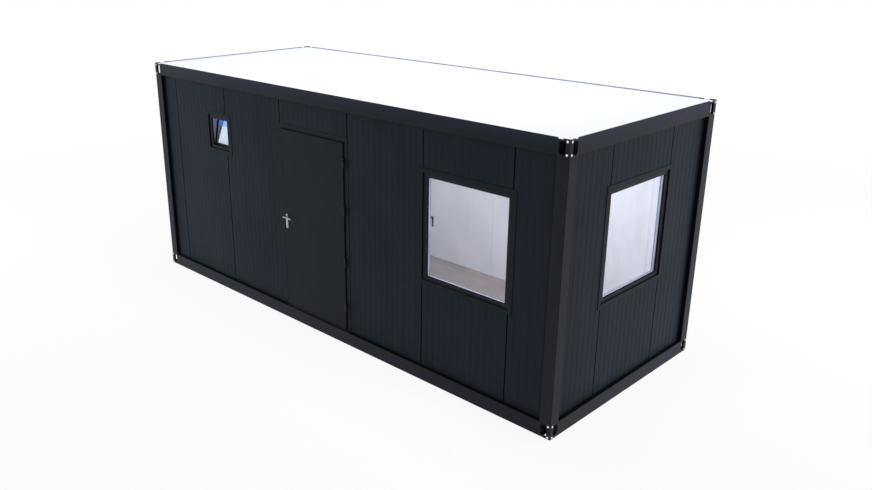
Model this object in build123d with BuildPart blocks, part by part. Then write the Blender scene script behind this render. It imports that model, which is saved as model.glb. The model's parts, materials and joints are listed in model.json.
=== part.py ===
from build123d import *
from math import cos, radians, sin
import os

os.makedirs("parts", exist_ok=True)

# Overall sizes of the steel frame, in millimetres
LENGTH = 6000
WIDTH = 2400
HEIGHT = 2600
STEEL = 4
POST_FACE = 118
BASE_RAIL_H = 135
ROOF_RAIL_BOTTOM = 2460
BASE_FLANGE = 60
RAIL_FLANGE = POST_FACE

# Roof rail: upright to this level, then leaning back in a soft curve to a raised lip
RAIL_STRAIGHT = 2515
RAIL_LEAN = 9
ROOF_LEVEL = 2588
ROOF_SHEET = 2
ROOF_RIM = 9
RIM_START = 170

# Corner fittings: bottom, top plate, lower and upper edge of the lifting slots
FITTING_LEVELS = {
    "lower": (0, BASE_RAIL_H, 24, 124),
    "upper": (ROOF_RAIL_BOTTOM, ROOF_LEVEL, 2471, 2581),
}
SHELL = 6
SLOT_W = 62
SLOT_EDGE = 42
SLOT_ROUND = 27
LIP_LEG = 65

# Walls: sandwich panels with fine grooves, set back from the face of the frame
WALL_SETBACK = 40
ROOM_FACE = 120
JOINT_GAP = 12
JOINT_DEPTH = 20
JOINT_PLAY = 1.5
TONGUE = 8
TONGUE_NEAR = 80
TONGUE_FAR = 90
MODULE = 1008
RIBS_PER_MODULE = 13
RIB_W = 10
RIB_DEPTH = 1.2
SEAL_T = 3

# Joints along the front wall, from its left end; the door stands between the third and fourth
FRONT_JOINTS = [-2627, -1619, -611, 448, 1456, 2464]
END_JOINTS = [-502, 502]
BACK_JOINTS = [MODULE * (i - 2.5) for i in range(6)]

# Openings inside the window trims as left, right, bottom and top: two large ones and a small one
LARGE_LOW = 1026
LARGE_TOP = 2054
FRONT_WINDOW = (1456, 2464, LARGE_LOW, LARGE_TOP)
END_WINDOW = (-504, 504, LARGE_LOW, LARGE_TOP)
SMALL_WINDOW = (-1961, -1563, 1718, 2108)

# Window build-up, as depths behind the face of the frame and widths of the visible members
TRIM_DEPTH = 35
TRIM_W = 42
REVEAL_W = 12
SASH_DEPTH = 50
STILE_W = 45
HEAD_W = 42
SILL_W = 34
GLASS_DEPTH = 66
PANE_T = 4
PANE_GAP = 12
GLASS_EDGE = 10
SASH_BACK = 102
INNER_TRIM_T = 8

# Sash of the small window, tipped inwards on its bottom edge
STOP_BACK = 70
SASH_TILT = 11
SASH_LAP = 4
SASH_PLAY = 4
SASH_FACE = 26
SASH_T = 20

# Door leaf and the gaps around it
LEAF_LEFT = -570
LEAF_RIGHT = 397
LEAF_BOTTOM = 150
LEAF_TOP = 2146
LEAF_DEPTH = 22
LEAF_T = 45
LEAF_GAP = 6
HINGE_GAP = 12
THRESHOLD_T = 8
THRESHOLD_DEPTH = 24
CASING_LEFT = -617
CASING_RIGHT = 454
CASING_TOP = 2201
STOP_DEPTH = 73
STOP_LEFT = -556
STOP_RIGHT = 382
STOP_TOP = 2131
HEAD_H = 36

# Hinges
HINGE_LEVELS = [405, 903, 1449, 1945]
HINGE_X = 405
HINGE_DEPTH = 14
KNUCKLE_R = 9
KNUCKLE_H = 97
KNUCKLE_PLAY = 1
PIN_R = 4
FLAG_T = 3

# Lock and lever
LOCK_X = -529
PLATE_W = 32
PLATE_BOTTOM = 1057
PLATE_TOP = 1218
PLATE_T = 4
LEVER_LEVEL = 1191
KEY_LEVEL = 1112
LEVER_STANDOFF = 49
LEVER_LENGTH = 125
LEVER_R = 8
SPINDLE_HOLE_R = 11

# Floor build-up
JOIST_W = 60
JOIST_PITCH = 600
JOIST_COUNT = 9
PAN_T = 2
DECK_T = 20
CEILING_T = 40
CEILING_PLAY = 1

# Each side: the way right as seen from outside, the way out, and half the cabin's depth that way
SIDES = {
    "front": (Vector(1, 0, 0), Vector(0, -1, 0), WIDTH / 2),
    "right": (Vector(0, 1, 0), Vector(1, 0, 0), LENGTH / 2),
    "back": (Vector(-1, 0, 0), Vector(0, 1, 0), WIDTH / 2),
    "left": (Vector(0, -1, 0), Vector(-1, 0, 0), LENGTH / 2),
}
RUN = {"front": LENGTH, "right": WIDTH, "back": LENGTH, "left": WIDTH}

# Each corner: the side that begins there, seen from outside, and the side that ends there
CORNERS = {
    "front_left": ("front", "left"),
    "front_right": ("right", "front"),
    "back_right": ("back", "right"),
    "back_left": ("left", "back"),
}

UP = Vector(0, 0, 1)
FRAME_SILL = BASE_RAIL_H - STEEL
JAMB_LEFT = LEAF_LEFT - LEAF_GAP
JAMB_RIGHT = LEAF_RIGHT + HINGE_GAP
JAMB_TOP = LEAF_TOP + LEAF_GAP
LEAF_BACK = LEAF_DEPTH + LEAF_T


def elevation(side, depth):
    """Upright plane seen from outside: x to the right, y up, at a depth behind the frame's face."""
    right, out, reach = SIDES[side]
    return Plane(origin=out * (reach - depth), x_dir=right, z_dir=out)


def plan(side, level):
    """Level plane: x to the right seen from outside, y the depth behind the frame's face."""
    right, out, reach = SIDES[side]
    return Plane(origin=out * reach + UP * level, x_dir=right, z_dir=UP)


def corner_plan(side, level):
    """Level plane with its origin on the outer corner where a side begins."""
    right, out, reach = SIDES[side]
    return Plane(origin=out * reach - right * (RUN[side] / 2) + UP * level, x_dir=right, z_dir=UP)


def rail_section(side):
    """Upright plane across a rail, at the end of its first corner: x the depth, y up."""
    right, out, reach = SIDES[side]
    start = out * reach - right * (RUN[side] / 2 - POST_FACE)
    return Plane(origin=start, x_dir=out * -1, z_dir=right)


def keep(piece, name):
    """Label a finished piece and write its file."""
    piece.label = name
    export_step(piece, f"parts/{name}.step")


def upright(side, outline, bottom, top):
    """Closed outline in plan, as (along the wall, depth) points, raised between two levels."""
    with BuildSketch(plan(side, bottom)) as profile:
        with BuildLine():
            Polyline(*outline, close=True)
        make_face()
    extrude(profile.sketch, amount=top - bottom)


def outlined(box, mode=Mode.ADD):
    """Rectangle in a sketch, from a box of left, right, bottom and top."""
    left, right, bottom, top = box
    with Locations(((left + right) / 2, (bottom + top) / 2)):
        Rectangle(right - left, top - bottom, mode=mode)


def block(side, left, right, bottom, top, depth, thickness, mode=Mode.ADD):
    """Rectangular piece seen from outside, from a depth inwards."""
    with BuildSketch(elevation(side, depth)) as face:
        outlined((left, right, bottom, top))
    extrude(face.sketch, amount=-thickness, mode=mode)


def grown(box, by):
    """The box of left, right, bottom and top, larger by a distance all round."""
    left, right, bottom, top = box
    return (left - by, right + by, bottom - by, top + by)


def surround(side, outer, inner, depth, thickness):
    """Rectangular frame between two boxes, from a depth inwards."""
    with BuildSketch(elevation(side, depth)) as ring:
        outlined(outer)
        outlined(inner, Mode.SUBTRACT)
    extrude(ring.sketch, amount=-thickness)


# Steel frame: base rails, channels open to the inside with a wide top flange under the walls
def base_rail(side):
    with BuildPart() as rail:
        with BuildSketch(rail_section(side)) as profile:
            with BuildLine():
                Polyline(
                    (0, 0), (BASE_FLANGE, 0), (BASE_FLANGE, STEEL), (STEEL, STEEL),
                    (STEEL, FRAME_SILL), (RAIL_FLANGE, FRAME_SILL), (RAIL_FLANGE, BASE_RAIL_H),
                    (0, BASE_RAIL_H), close=True,
                )
            make_face()
        extrude(profile.sketch, amount=RUN[side] - 2 * POST_FACE)
    return rail.part


# Steel frame: roof rails, with the leaning web, the lip and two flanges
def roof_rail(side):
    lip = RAIL_LEAN + STEEL
    with BuildPart() as rail:
        with BuildSketch(rail_section(side)) as profile:
            with BuildLine():
                Line((0, ROOF_RAIL_BOTTOM), (0, RAIL_STRAIGHT))
                TangentArc((0, RAIL_STRAIGHT), (RAIL_LEAN, HEIGHT), tangent=(0, 1))
                Polyline(
                    (RAIL_LEAN, HEIGHT), (lip, HEIGHT), (lip, ROOF_LEVEL),
                    (RAIL_FLANGE, ROOF_LEVEL), (RAIL_FLANGE, ROOF_LEVEL - STEEL),
                    (RAIL_LEAN + 1, ROOF_LEVEL - STEEL),
                )
                TangentArc(
                    (STEEL, RAIL_STRAIGHT), (RAIL_LEAN + 1, ROOF_LEVEL - STEEL), tangent=(0, 1)
                )
                Polyline(
                    (STEEL, RAIL_STRAIGHT), (STEEL, ROOF_RAIL_BOTTOM + STEEL),
                    (RAIL_FLANGE, ROOF_RAIL_BOTTOM + STEEL), (RAIL_FLANGE, ROOF_RAIL_BOTTOM),
                    (0, ROOF_RAIL_BOTTOM),
                )
            make_face()
        extrude(profile.sketch, amount=RUN[side] - 2 * POST_FACE)
    return rail.part


# Steel frame: corner posts, plate bent round the corner with a return to the wall at each side
def corner_post(side):
    bend = 6
    with BuildPart() as post:
        with BuildSketch(corner_plan(side, BASE_RAIL_H)) as profile:
            with BuildLine():
                FilletPolyline(
                    (POST_FACE, WALL_SETBACK), (POST_FACE, 0), (0, 0), (0, POST_FACE),
                    (WALL_SETBACK, POST_FACE), radius=bend,
                )
                Polyline(
                    (WALL_SETBACK, POST_FACE), (WALL_SETBACK, POST_FACE - STEEL),
                    (STEEL, POST_FACE - STEEL), (STEEL, STEEL), (POST_FACE - STEEL, STEEL),
                    (POST_FACE - STEEL, WALL_SETBACK), (POST_FACE, WALL_SETBACK),
                )
            make_face()
        extrude(profile.sketch, amount=ROOF_RAIL_BOTTOM - BASE_RAIL_H)
    return post.part


def lifting_slot(side, level, height, first):
    """D-shaped slot through a fitting's wall: square towards the corner edge, round away from it."""
    mid = RUN[side] / 2 - SLOT_EDGE - SLOT_W / 2
    with BuildSketch(elevation(side, -1)) as slot:
        with Locations((-mid if first else mid, level + height / 2)):
            Rectangle(SLOT_W, height)
        fillet(slot.vertices().group_by(Axis.X)[-1 if first else 0], SLOT_ROUND)
    extrude(slot.sketch, amount=-(SHELL + 2), mode=Mode.SUBTRACT)


# Corner fittings: hollow boxes of thick plate, a lifting slot in both outer faces
def corner_fitting(place, begins, ends):
    bottom, top, slot_low, slot_high = FITTING_LEVELS[place]
    middle = (POST_FACE / 2, POST_FACE / 2)
    with BuildPart() as fitting:
        with BuildSketch(corner_plan(begins, bottom)) as shell:
            with Locations(middle):
                Rectangle(POST_FACE, POST_FACE)
        extrude(shell.sketch, amount=top - bottom)
        with BuildSketch(corner_plan(begins, bottom + SHELL)) as cavity:
            with Locations(middle):
                Rectangle(POST_FACE - 2 * SHELL, POST_FACE - 2 * SHELL)
        extrude(cavity.sketch, amount=top - bottom - 2 * SHELL, mode=Mode.SUBTRACT)
        lifting_slot(begins, slot_low, slot_high - slot_low, True)
        lifting_slot(ends, slot_low, slot_high - slot_low, False)
        if place == "lower":
            with BuildSketch(corner_plan(begins, 0)) as drain:
                with Locations(middle):
                    SlotOverall(86, 52)
            extrude(drain.sketch, amount=SHELL, mode=Mode.SUBTRACT)
        if place == "upper":
            with BuildSketch(corner_plan(begins, top)) as lip:
                with BuildLine():
                    Polyline(
                        (0, 0), (LIP_LEG, 0), (LIP_LEG, SHELL), (SHELL, SHELL),
                        (SHELL, LIP_LEG), (0, LIP_LEG), close=True,
                    )
                make_face()
            extrude(lip.sketch, amount=HEIGHT - top)
    return fitting.part


for side in SIDES:
    keep(base_rail(side), f"bottom_rail_{side}")
    keep(roof_rail(side), f"top_rail_{side}")

for corner, (begins, ends) in CORNERS.items():
    keep(corner_post(begins), f"post_{corner}")
    with BuildPart() as fittings:
        add(corner_fitting("lower", begins, ends))
        add(corner_fitting("upper", begins, ends))
    keep(fittings.part, f"corner_fittings_{corner}")

# Floor: channel joists across the cabin, a sheet pan on them, and the deck between the walls
with BuildPart() as floor_joists:
    with BuildSketch(Plane.XZ.offset(-(WIDTH / 2 - BASE_FLANGE))) as joist_profile:
        with GridLocations(JOIST_PITCH, 0, JOIST_COUNT, 1):
            with Locations((0, FRAME_SILL / 2)):
                Rectangle(JOIST_W, FRAME_SILL)
            with Locations((STEEL, FRAME_SILL / 2)):
                Rectangle(JOIST_W, FRAME_SILL - 2 * STEEL, mode=Mode.SUBTRACT)
    extrude(amount=WIDTH - 2 * BASE_FLANGE)
keep(floor_joists.part, "floor_joists")

ROOM_L = LENGTH - 2 * ROOM_FACE
ROOM_W = WIDTH - 2 * ROOM_FACE
with BuildPart() as floor_pan:
    with BuildSketch(Plane.XY.offset(FRAME_SILL)):
        Rectangle(ROOM_L, ROOM_W)
    extrude(amount=PAN_T)
keep(floor_pan.part, "floor_pan")

with BuildPart() as floor_deck:
    with BuildSketch(Plane.XY.offset(FRAME_SILL + PAN_T)):
        Rectangle(ROOM_L, ROOM_W)
    extrude(amount=DECK_T)
keep(floor_deck.part, "floor_deck")

# Ceiling: one panel between the long roof rails and a strip on the flange of each end rail
with BuildPart() as ceiling_panel:
    strip_w = RAIL_FLANGE - WALL_SETBACK - CEILING_PLAY
    strip_l = WIDTH - 2 * RAIL_FLANGE - 2 * CEILING_PLAY
    with BuildSketch(Plane.XY.offset(ROOF_RAIL_BOTTOM + STEEL)):
        Rectangle(LENGTH - 2 * RAIL_FLANGE - 2 * CEILING_PLAY, WIDTH - 2 * WALL_SETBACK)
        with GridLocations(LENGTH - 2 * WALL_SETBACK - strip_w, 0, 2, 1):
            Rectangle(strip_w, strip_l)
    extrude(amount=CEILING_T)
keep(ceiling_panel.part, "ceiling_panel")

# Roof sheet: a tray inside the rails' lips with tabs over the fittings and an upturned rim
with BuildPart() as roof_sheet:
    tray_l = LENGTH - 2 * (RAIL_LEAN + STEEL) - 1
    tray_w = WIDTH - 2 * (RAIL_LEAN + STEEL) - 1
    tab_mid = (LIP_LEG + POST_FACE) / 2
    tab_l = POST_FACE - LIP_LEG - 2
    tab_reach = RAIL_LEAN + STEEL
    with BuildSketch(Plane.XY.offset(ROOF_LEVEL)):
        Rectangle(tray_l, tray_w)
        with GridLocations(LENGTH - 2 * tab_mid, WIDTH - tab_reach - 1, 2, 2):
            Rectangle(tab_l, tab_reach)
        with GridLocations(LENGTH - tab_reach - 1, WIDTH - 2 * tab_mid, 2, 2):
            Rectangle(tab_reach, tab_l)
    extrude(amount=ROOF_SHEET)
    with BuildSketch(Plane.XY.offset(ROOF_LEVEL + ROOF_SHEET)):
        Rectangle(tray_l, tray_w)
        Rectangle(tray_l - 2 * ROOF_SHEET, tray_w - 2 * ROOF_SHEET, mode=Mode.SUBTRACT)
        with GridLocations(LENGTH, WIDTH, 2, 2):
            Rectangle(2 * RIM_START, 2 * RIM_START, mode=Mode.SUBTRACT)
    extrude(amount=ROOF_RIM - ROOF_SHEET)
keep(roof_sheet.part, "roof_sheet")


def outer_face(start, stop, anchor):
    """Points along a panel's outer face, with a shallow groove at each rib pitch from a joint."""
    pitch = MODULE / RIBS_PER_MODULE
    points = [(start, WALL_SETBACK)]
    first = int((start - anchor) // pitch)
    last = int((stop - anchor) // pitch) + 1
    for number in range(first, last + 1):
        groove = anchor + number * pitch
        if start + RIB_W < groove < stop - RIB_W:
            points += [
                (groove - RIB_W / 2, WALL_SETBACK),
                (groove - RIB_W / 2 + RIB_DEPTH, WALL_SETBACK + RIB_DEPTH),
                (groove + RIB_W / 2 - RIB_DEPTH, WALL_SETBACK + RIB_DEPTH),
                (groove + RIB_W / 2, WALL_SETBACK),
            ]
    return points + [(stop, WALL_SETBACK)]


def panel(side, left, right, bottom, top, left_edge="groove", right_edge="tongue"):
    """One wall panel in plan: open joint outside, tongue and groove behind, or a plain edge."""
    step = WALL_SETBACK + JOINT_DEPTH
    play = JOINT_PLAY / 2
    start = left if left_edge == "plain" else left + JOINT_GAP / 2
    stop = right if right_edge == "plain" else right - JOINT_GAP / 2
    outline = outer_face(start, stop, right if left_edge == "plain" else left)
    if right_edge != "plain":
        outline += [(stop, step), (right - play, step)]
    if right_edge == "tongue":
        outline += [
            (right - play, TONGUE_NEAR), (right + TONGUE, TONGUE_NEAR),
            (right + TONGUE, TONGUE_FAR), (right - play, TONGUE_FAR),
        ]
    outline.append((right if right_edge == "plain" else right - play, ROOM_FACE))
    outline.append((left if left_edge == "plain" else left + play, ROOM_FACE))
    if left_edge == "groove":
        bottom_of_groove = left + TONGUE + JOINT_PLAY
        outline += [
            (left + play, TONGUE_FAR + JOINT_PLAY), (bottom_of_groove, TONGUE_FAR + JOINT_PLAY),
            (bottom_of_groove, TONGUE_NEAR - JOINT_PLAY), (left + play, TONGUE_NEAR - JOINT_PLAY),
        ]
    if left_edge != "plain":
        outline += [(left + play, step), (start, step)]
    upright(side, outline, bottom, top)


LOW = BASE_RAIL_H
TOP = ROOF_RAIL_BOTTOM
LONG_END = LENGTH / 2 - WALL_SETBACK
SHORT_END = WIDTH / 2 - ROOM_FACE
WIN_LOW = LARGE_LOW - REVEAL_W
WIN_TOP = LARGE_TOP + REVEAL_W


def window_cut(side, window):
    """Opening through a wall for a window's frame."""
    block(
        side, *grown(window, REVEAL_W), WALL_SETBACK - 1, ROOM_FACE - WALL_SETBACK + 2,
        Mode.SUBTRACT,
    )


# Front wall left of the door: three panels, with the small window cut across a joint
with BuildPart() as front_panels_left:
    panel("front", -LONG_END, FRONT_JOINTS[0], LOW, TOP, left_edge="plain")
    panel("front", FRONT_JOINTS[0], FRONT_JOINTS[1], LOW, TOP)
    panel("front", FRONT_JOINTS[1], FRONT_JOINTS[2], LOW, TOP, right_edge="gap")
    window_cut("front", SMALL_WINDOW)
keep(front_panels_left.part, "front_panels_left")

# Front wall over the door
with BuildPart() as front_panel_over_door:
    panel("front", FRONT_JOINTS[2], FRONT_JOINTS[3], JAMB_TOP + HEAD_H, TOP, "gap", "gap")
keep(front_panel_over_door.part, "front_panel_over_door")

# Front wall right of the door: short panels under and over the window, full ones beside it
with BuildPart() as front_panels_right:
    panel("front", FRONT_JOINTS[3], FRONT_JOINTS[4], LOW, TOP, left_edge="gap")
    panel("front", FRONT_JOINTS[4], FRONT_JOINTS[5], LOW, WIN_LOW)
    panel("front", FRONT_JOINTS[4], FRONT_JOINTS[5], WIN_TOP, TOP)
    panel("front", FRONT_JOINTS[5], LONG_END, LOW, TOP, right_edge="plain")
    window_cut("front", FRONT_WINDOW)
keep(front_panels_right.part, "front_panels_right")

# Right end wall, with the window in its middle bay
with BuildPart() as right_panels:
    panel("right", -SHORT_END, END_JOINTS[0], LOW, TOP, left_edge="plain")
    panel("right", END_JOINTS[0], END_JOINTS[1], LOW, WIN_LOW)
    panel("right", END_JOINTS[0], END_JOINTS[1], WIN_TOP, TOP)
    panel("right", END_JOINTS[1], SHORT_END, LOW, TOP, right_edge="plain")
    window_cut("right", END_WINDOW)
keep(right_panels.part, "right_panels")

# Left end wall: the same bays, closed
with BuildPart() as left_panels:
    panel("left", -SHORT_END, END_JOINTS[0], LOW, TOP, left_edge="plain")
    panel("left", END_JOINTS[0], END_JOINTS[1], LOW, TOP)
    panel("left", END_JOINTS[1], SHORT_END, LOW, TOP, right_edge="plain")
keep(left_panels.part, "left_panels")

# Back wall: closed, in whole panels with a made-up one at each end
with BuildPart() as back_panels:
    panel("back", -LONG_END, BACK_JOINTS[0], LOW, TOP, left_edge="plain")
    for left, right in zip(BACK_JOINTS, BACK_JOINTS[1:]):
        panel("back", left, right, LOW, TOP)
    panel("back", BACK_JOINTS[-1], LONG_END, LOW, TOP, right_edge="plain")
keep(back_panels.part, "back_panels")

# Black strips that line the recess between the frame's face and the wall on all four sides
with BuildPart() as recess_seals:
    for side in SIDES:
        half_run = RUN[side] / 2 - POST_FACE
        recess = (-half_run, half_run, LOW, TOP)
        surround(side, recess, grown(recess, -SEAL_T), STEEL, WALL_SETBACK - STEEL)
    block("front", CASING_LEFT, CASING_RIGHT, LOW, LOW + SEAL_T, 0, WALL_SETBACK, Mode.SUBTRACT)
keep(recess_seals.part, "recess_seals")


def clear(window):
    """Box of the glass that shows inside a window's stiles, head and sill."""
    left, right, bottom, top = window
    return (left + STILE_W, right - STILE_W, bottom + SILL_W, top - HEAD_W)


# Windows: flat trims on the wall, frames with a dark reveal, white inner sashes, panes
LARGE_WINDOWS = [("front", FRONT_WINDOW), ("right", END_WINDOW)]
with BuildPart() as window_trims:
    for side, window in LARGE_WINDOWS + [("front", SMALL_WINDOW)]:
        surround(side, grown(window, TRIM_W), window, TRIM_DEPTH, WALL_SETBACK - TRIM_DEPTH)
keep(window_trims.part, "window_trims")

with BuildPart() as window_frames:
    for side, window in LARGE_WINDOWS:
        hole = grown(window, REVEAL_W)
        surround(side, hole, window, WALL_SETBACK, SASH_DEPTH - WALL_SETBACK)
        surround(side, hole, clear(window), SASH_DEPTH, GLASS_DEPTH - SASH_DEPTH)
keep(window_frames.part, "window_frames")

GLASS_BACK = GLASS_DEPTH + 2 * PANE_T + PANE_GAP
with BuildPart() as window_sashes:
    for side, window in LARGE_WINDOWS:
        hole = grown(window, REVEAL_W)
        pane = grown(clear(window), GLASS_EDGE)
        surround(side, hole, pane, GLASS_DEPTH, GLASS_BACK - GLASS_DEPTH)
        surround(side, hole, clear(window), GLASS_BACK, SASH_BACK - GLASS_BACK)
        surround(side, hole, window, SASH_BACK, ROOM_FACE - SASH_BACK)
        surround(side, grown(hole, REVEAL_W), window, ROOM_FACE, INNER_TRIM_T)
keep(window_sashes.part, "window_sashes")

# Small window: a deep frame with a stop in front, and a sash that leans in on its bottom edge
tip_left, tip_right, tip_sill, tip_top = grown(clear(SMALL_WINDOW), SASH_LAP)
TIP_W = tip_right - tip_left
TIP_H = tip_top - tip_sill
with BuildPart() as small_window_frame:
    small_hole = grown(SMALL_WINDOW, REVEAL_W)
    pocket = (tip_left - SASH_PLAY, tip_right + SASH_PLAY, tip_sill, tip_top + SASH_PLAY)
    surround("front", small_hole, SMALL_WINDOW, WALL_SETBACK, SASH_DEPTH - WALL_SETBACK)
    surround("front", small_hole, clear(SMALL_WINDOW), SASH_DEPTH, STOP_BACK - SASH_DEPTH)
    surround("front", small_hole, pocket, STOP_BACK, ROOM_FACE - STOP_BACK)
    surround("front", grown(small_hole, REVEAL_W), pocket, ROOM_FACE, INNER_TRIM_T)
keep(small_window_frame.part, "small_window_frame")

lean = radians(SASH_TILT)
tip_plane = Plane(
    origin=((tip_left + tip_right) / 2, STOP_BACK + SASH_PLAY + SASH_T - WIDTH / 2, tip_sill),
    x_dir=(1, 0, 0),
    z_dir=(0, -cos(lean), sin(lean)),
)
with BuildPart() as small_window_sash:
    with BuildSketch(tip_plane):
        with Locations((0, TIP_H / 2)):
            Rectangle(TIP_W, TIP_H)
            Rectangle(TIP_W - 2 * SASH_FACE, TIP_H - 2 * SASH_FACE, mode=Mode.SUBTRACT)
    extrude(amount=SASH_T)
keep(small_window_sash.part, "small_window_sash")

with BuildPart() as window_panes:
    for side, window in LARGE_WINDOWS:
        for depth in (GLASS_DEPTH, GLASS_DEPTH + PANE_T + PANE_GAP):
            block(side, *grown(clear(window), GLASS_EDGE), depth, PANE_T)
    with BuildSketch(tip_plane.offset(SASH_T / 2)) as small_pane:
        with Locations((0, TIP_H / 2)):
            Rectangle(TIP_W - 2 * SASH_FACE, TIP_H - 2 * SASH_FACE)
    extrude(small_pane.sketch, amount=PANE_T)
keep(window_panes.part, "window_panes")

# Turn handles on the left stile of the large windows: a rose, a neck and a grip hanging from it
HANDLE_LEVEL = 1612
HANDLE_ROSE = (28, 66)
ROSE_T = 10
HANDLE_GRIP = (14, 100)
HANDLE_NECK = 36
NECK_W = 14
GRIP_T = 11
with BuildPart() as window_handles:
    for side, window in LARGE_WINDOWS:
        stile = window[0] + STILE_W / 2
        with BuildSketch(elevation(side, SASH_BACK)) as rose:
            with Locations((stile, HANDLE_LEVEL)):
                Rectangle(*HANDLE_ROSE)
        extrude(rose.sketch, amount=-ROSE_T)
        with BuildSketch(elevation(side, SASH_BACK + ROSE_T)) as neck:
            with Locations((stile, HANDLE_LEVEL)):
                Rectangle(NECK_W, NECK_W)
        extrude(neck.sketch, amount=-HANDLE_NECK)
        with BuildSketch(elevation(side, SASH_BACK + ROSE_T + HANDLE_NECK)) as grip:
            with Locations((stile, HANDLE_LEVEL + (NECK_W - HANDLE_GRIP[1]) / 2)):
                RectangleRounded(*HANDLE_GRIP, NECK_W / 4)
        extrude(grip.sketch, amount=-GRIP_T)
keep(window_handles.part, "window_handles")

# Door frame: cover strip, jamb and stop in one profile at each side, and the same overhead
JAMB_BASE = LOW + THRESHOLD_T
with BuildPart() as door_frame_left:
    block("front", CASING_LEFT, JAMB_LEFT, LOW, CASING_TOP, TRIM_DEPTH, WALL_SETBACK - TRIM_DEPTH)
    block(
        "front", FRONT_JOINTS[2], JAMB_LEFT, LOW, JAMB_TOP + HEAD_H,
        WALL_SETBACK, ROOM_FACE - WALL_SETBACK,
    )
    block(
        "front", JAMB_LEFT, STOP_LEFT, JAMB_BASE, JAMB_TOP, STOP_DEPTH, ROOM_FACE - STOP_DEPTH
    )
keep(door_frame_left.part, "door_frame_left")

with BuildPart() as door_frame_right:
    block("front", JAMB_RIGHT, CASING_RIGHT, LOW, CASING_TOP, TRIM_DEPTH, WALL_SETBACK - TRIM_DEPTH)
    block(
        "front", JAMB_RIGHT, FRONT_JOINTS[3], LOW, JAMB_TOP + HEAD_H,
        WALL_SETBACK, ROOM_FACE - WALL_SETBACK,
    )
    block(
        "front", STOP_RIGHT, JAMB_RIGHT, JAMB_BASE, JAMB_TOP, STOP_DEPTH, ROOM_FACE - STOP_DEPTH
    )
keep(door_frame_right.part, "door_frame_right")

with BuildPart() as door_frame_head:
    block("front", JAMB_LEFT, JAMB_RIGHT, JAMB_TOP, CASING_TOP, TRIM_DEPTH, WALL_SETBACK - TRIM_DEPTH)
    block(
        "front", JAMB_LEFT, JAMB_RIGHT, JAMB_TOP, JAMB_TOP + HEAD_H,
        WALL_SETBACK, ROOM_FACE - WALL_SETBACK,
    )
    block("front", STOP_LEFT, STOP_RIGHT, STOP_TOP, JAMB_TOP, STOP_DEPTH, ROOM_FACE - STOP_DEPTH)
keep(door_frame_head.part, "door_frame_head")

with BuildPart() as door_threshold:
    block(
        "front", JAMB_LEFT, JAMB_RIGHT, LOW, JAMB_BASE, THRESHOLD_DEPTH,
        ROOM_FACE - THRESHOLD_DEPTH,
    )
keep(door_threshold.part, "door_threshold")

# Door leaf, bored for the lever's spindle
with BuildPart() as door_leaf:
    block("front", LEAF_LEFT, LEAF_RIGHT, LEAF_BOTTOM, LEAF_TOP, LEAF_DEPTH, LEAF_T)
    with BuildSketch(elevation("front", LEAF_DEPTH)) as spindle_bore:
        with Locations((LOCK_X, LEVER_LEVEL)):
            Circle(SPINDLE_HOLE_R)
    extrude(spindle_bore.sketch, amount=-LEAF_T, mode=Mode.SUBTRACT)
keep(door_leaf.part, "door_leaf")

# Hinges: on the frame a lower knuckle with its pin, on the leaf an upper knuckle over the pin
HINGE_Y = HINGE_DEPTH - WIDTH / 2
KNUCKLE_HALF = (KNUCKLE_H - KNUCKLE_PLAY) / 2
FIXED_FLAG = (1, 18)
FIXED_WEB = 4
LEAF_FLAG = 15
CASING_RISE = TRIM_DEPTH - HINGE_DEPTH
with BuildPart() as door_hinges_fixed:
    for level in HINGE_LEVELS:
        base = level - KNUCKLE_H / 2
        with BuildSketch(Plane.XY.offset(base)) as knuckle:
            with Locations((HINGE_X, HINGE_Y)):
                Circle(KNUCKLE_R)
            with Locations((HINGE_X + FIXED_FLAG[0], HINGE_Y + FIXED_WEB)):
                Rectangle(FIXED_WEB, CASING_RISE - FIXED_WEB, align=Align.MIN)
            with Locations((HINGE_X + FIXED_FLAG[0], HINGE_Y + CASING_RISE - FLAG_T)):
                Rectangle(FIXED_FLAG[1] - FIXED_FLAG[0], FLAG_T, align=Align.MIN)
        extrude(knuckle.sketch, amount=KNUCKLE_HALF)
        with BuildSketch(Plane.XY.offset(base + KNUCKLE_HALF)) as pin:
            with Locations((HINGE_X, HINGE_Y)):
                Circle(PIN_R)
        extrude(pin.sketch, amount=KNUCKLE_HALF - PIN_R)
keep(door_hinges_fixed.part, "door_hinges_fixed")

with BuildPart() as door_hinges_leaf:
    for level in HINGE_LEVELS:
        base = level + KNUCKLE_PLAY / 2
        with BuildSketch(Plane.XY.offset(base)) as knuckle:
            with Locations((HINGE_X, HINGE_Y)):
                Circle(KNUCKLE_R)
            with Locations((HINGE_X - LEAF_FLAG, HINGE_Y + LEAF_DEPTH - HINGE_DEPTH - FLAG_T)):
                Rectangle(LEAF_FLAG, FLAG_T, align=Align.MIN)
        extrude(knuckle.sketch, amount=KNUCKLE_HALF)
        with BuildSketch(Plane.XY.offset(base)) as pin_bore:
            with Locations((HINGE_X, HINGE_Y)):
                Circle(PIN_R + 0.5)
        extrude(pin_bore.sketch, amount=KNUCKLE_HALF - PIN_R / 2, mode=Mode.SUBTRACT)
keep(door_hinges_leaf.part, "door_hinges_leaf")

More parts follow.
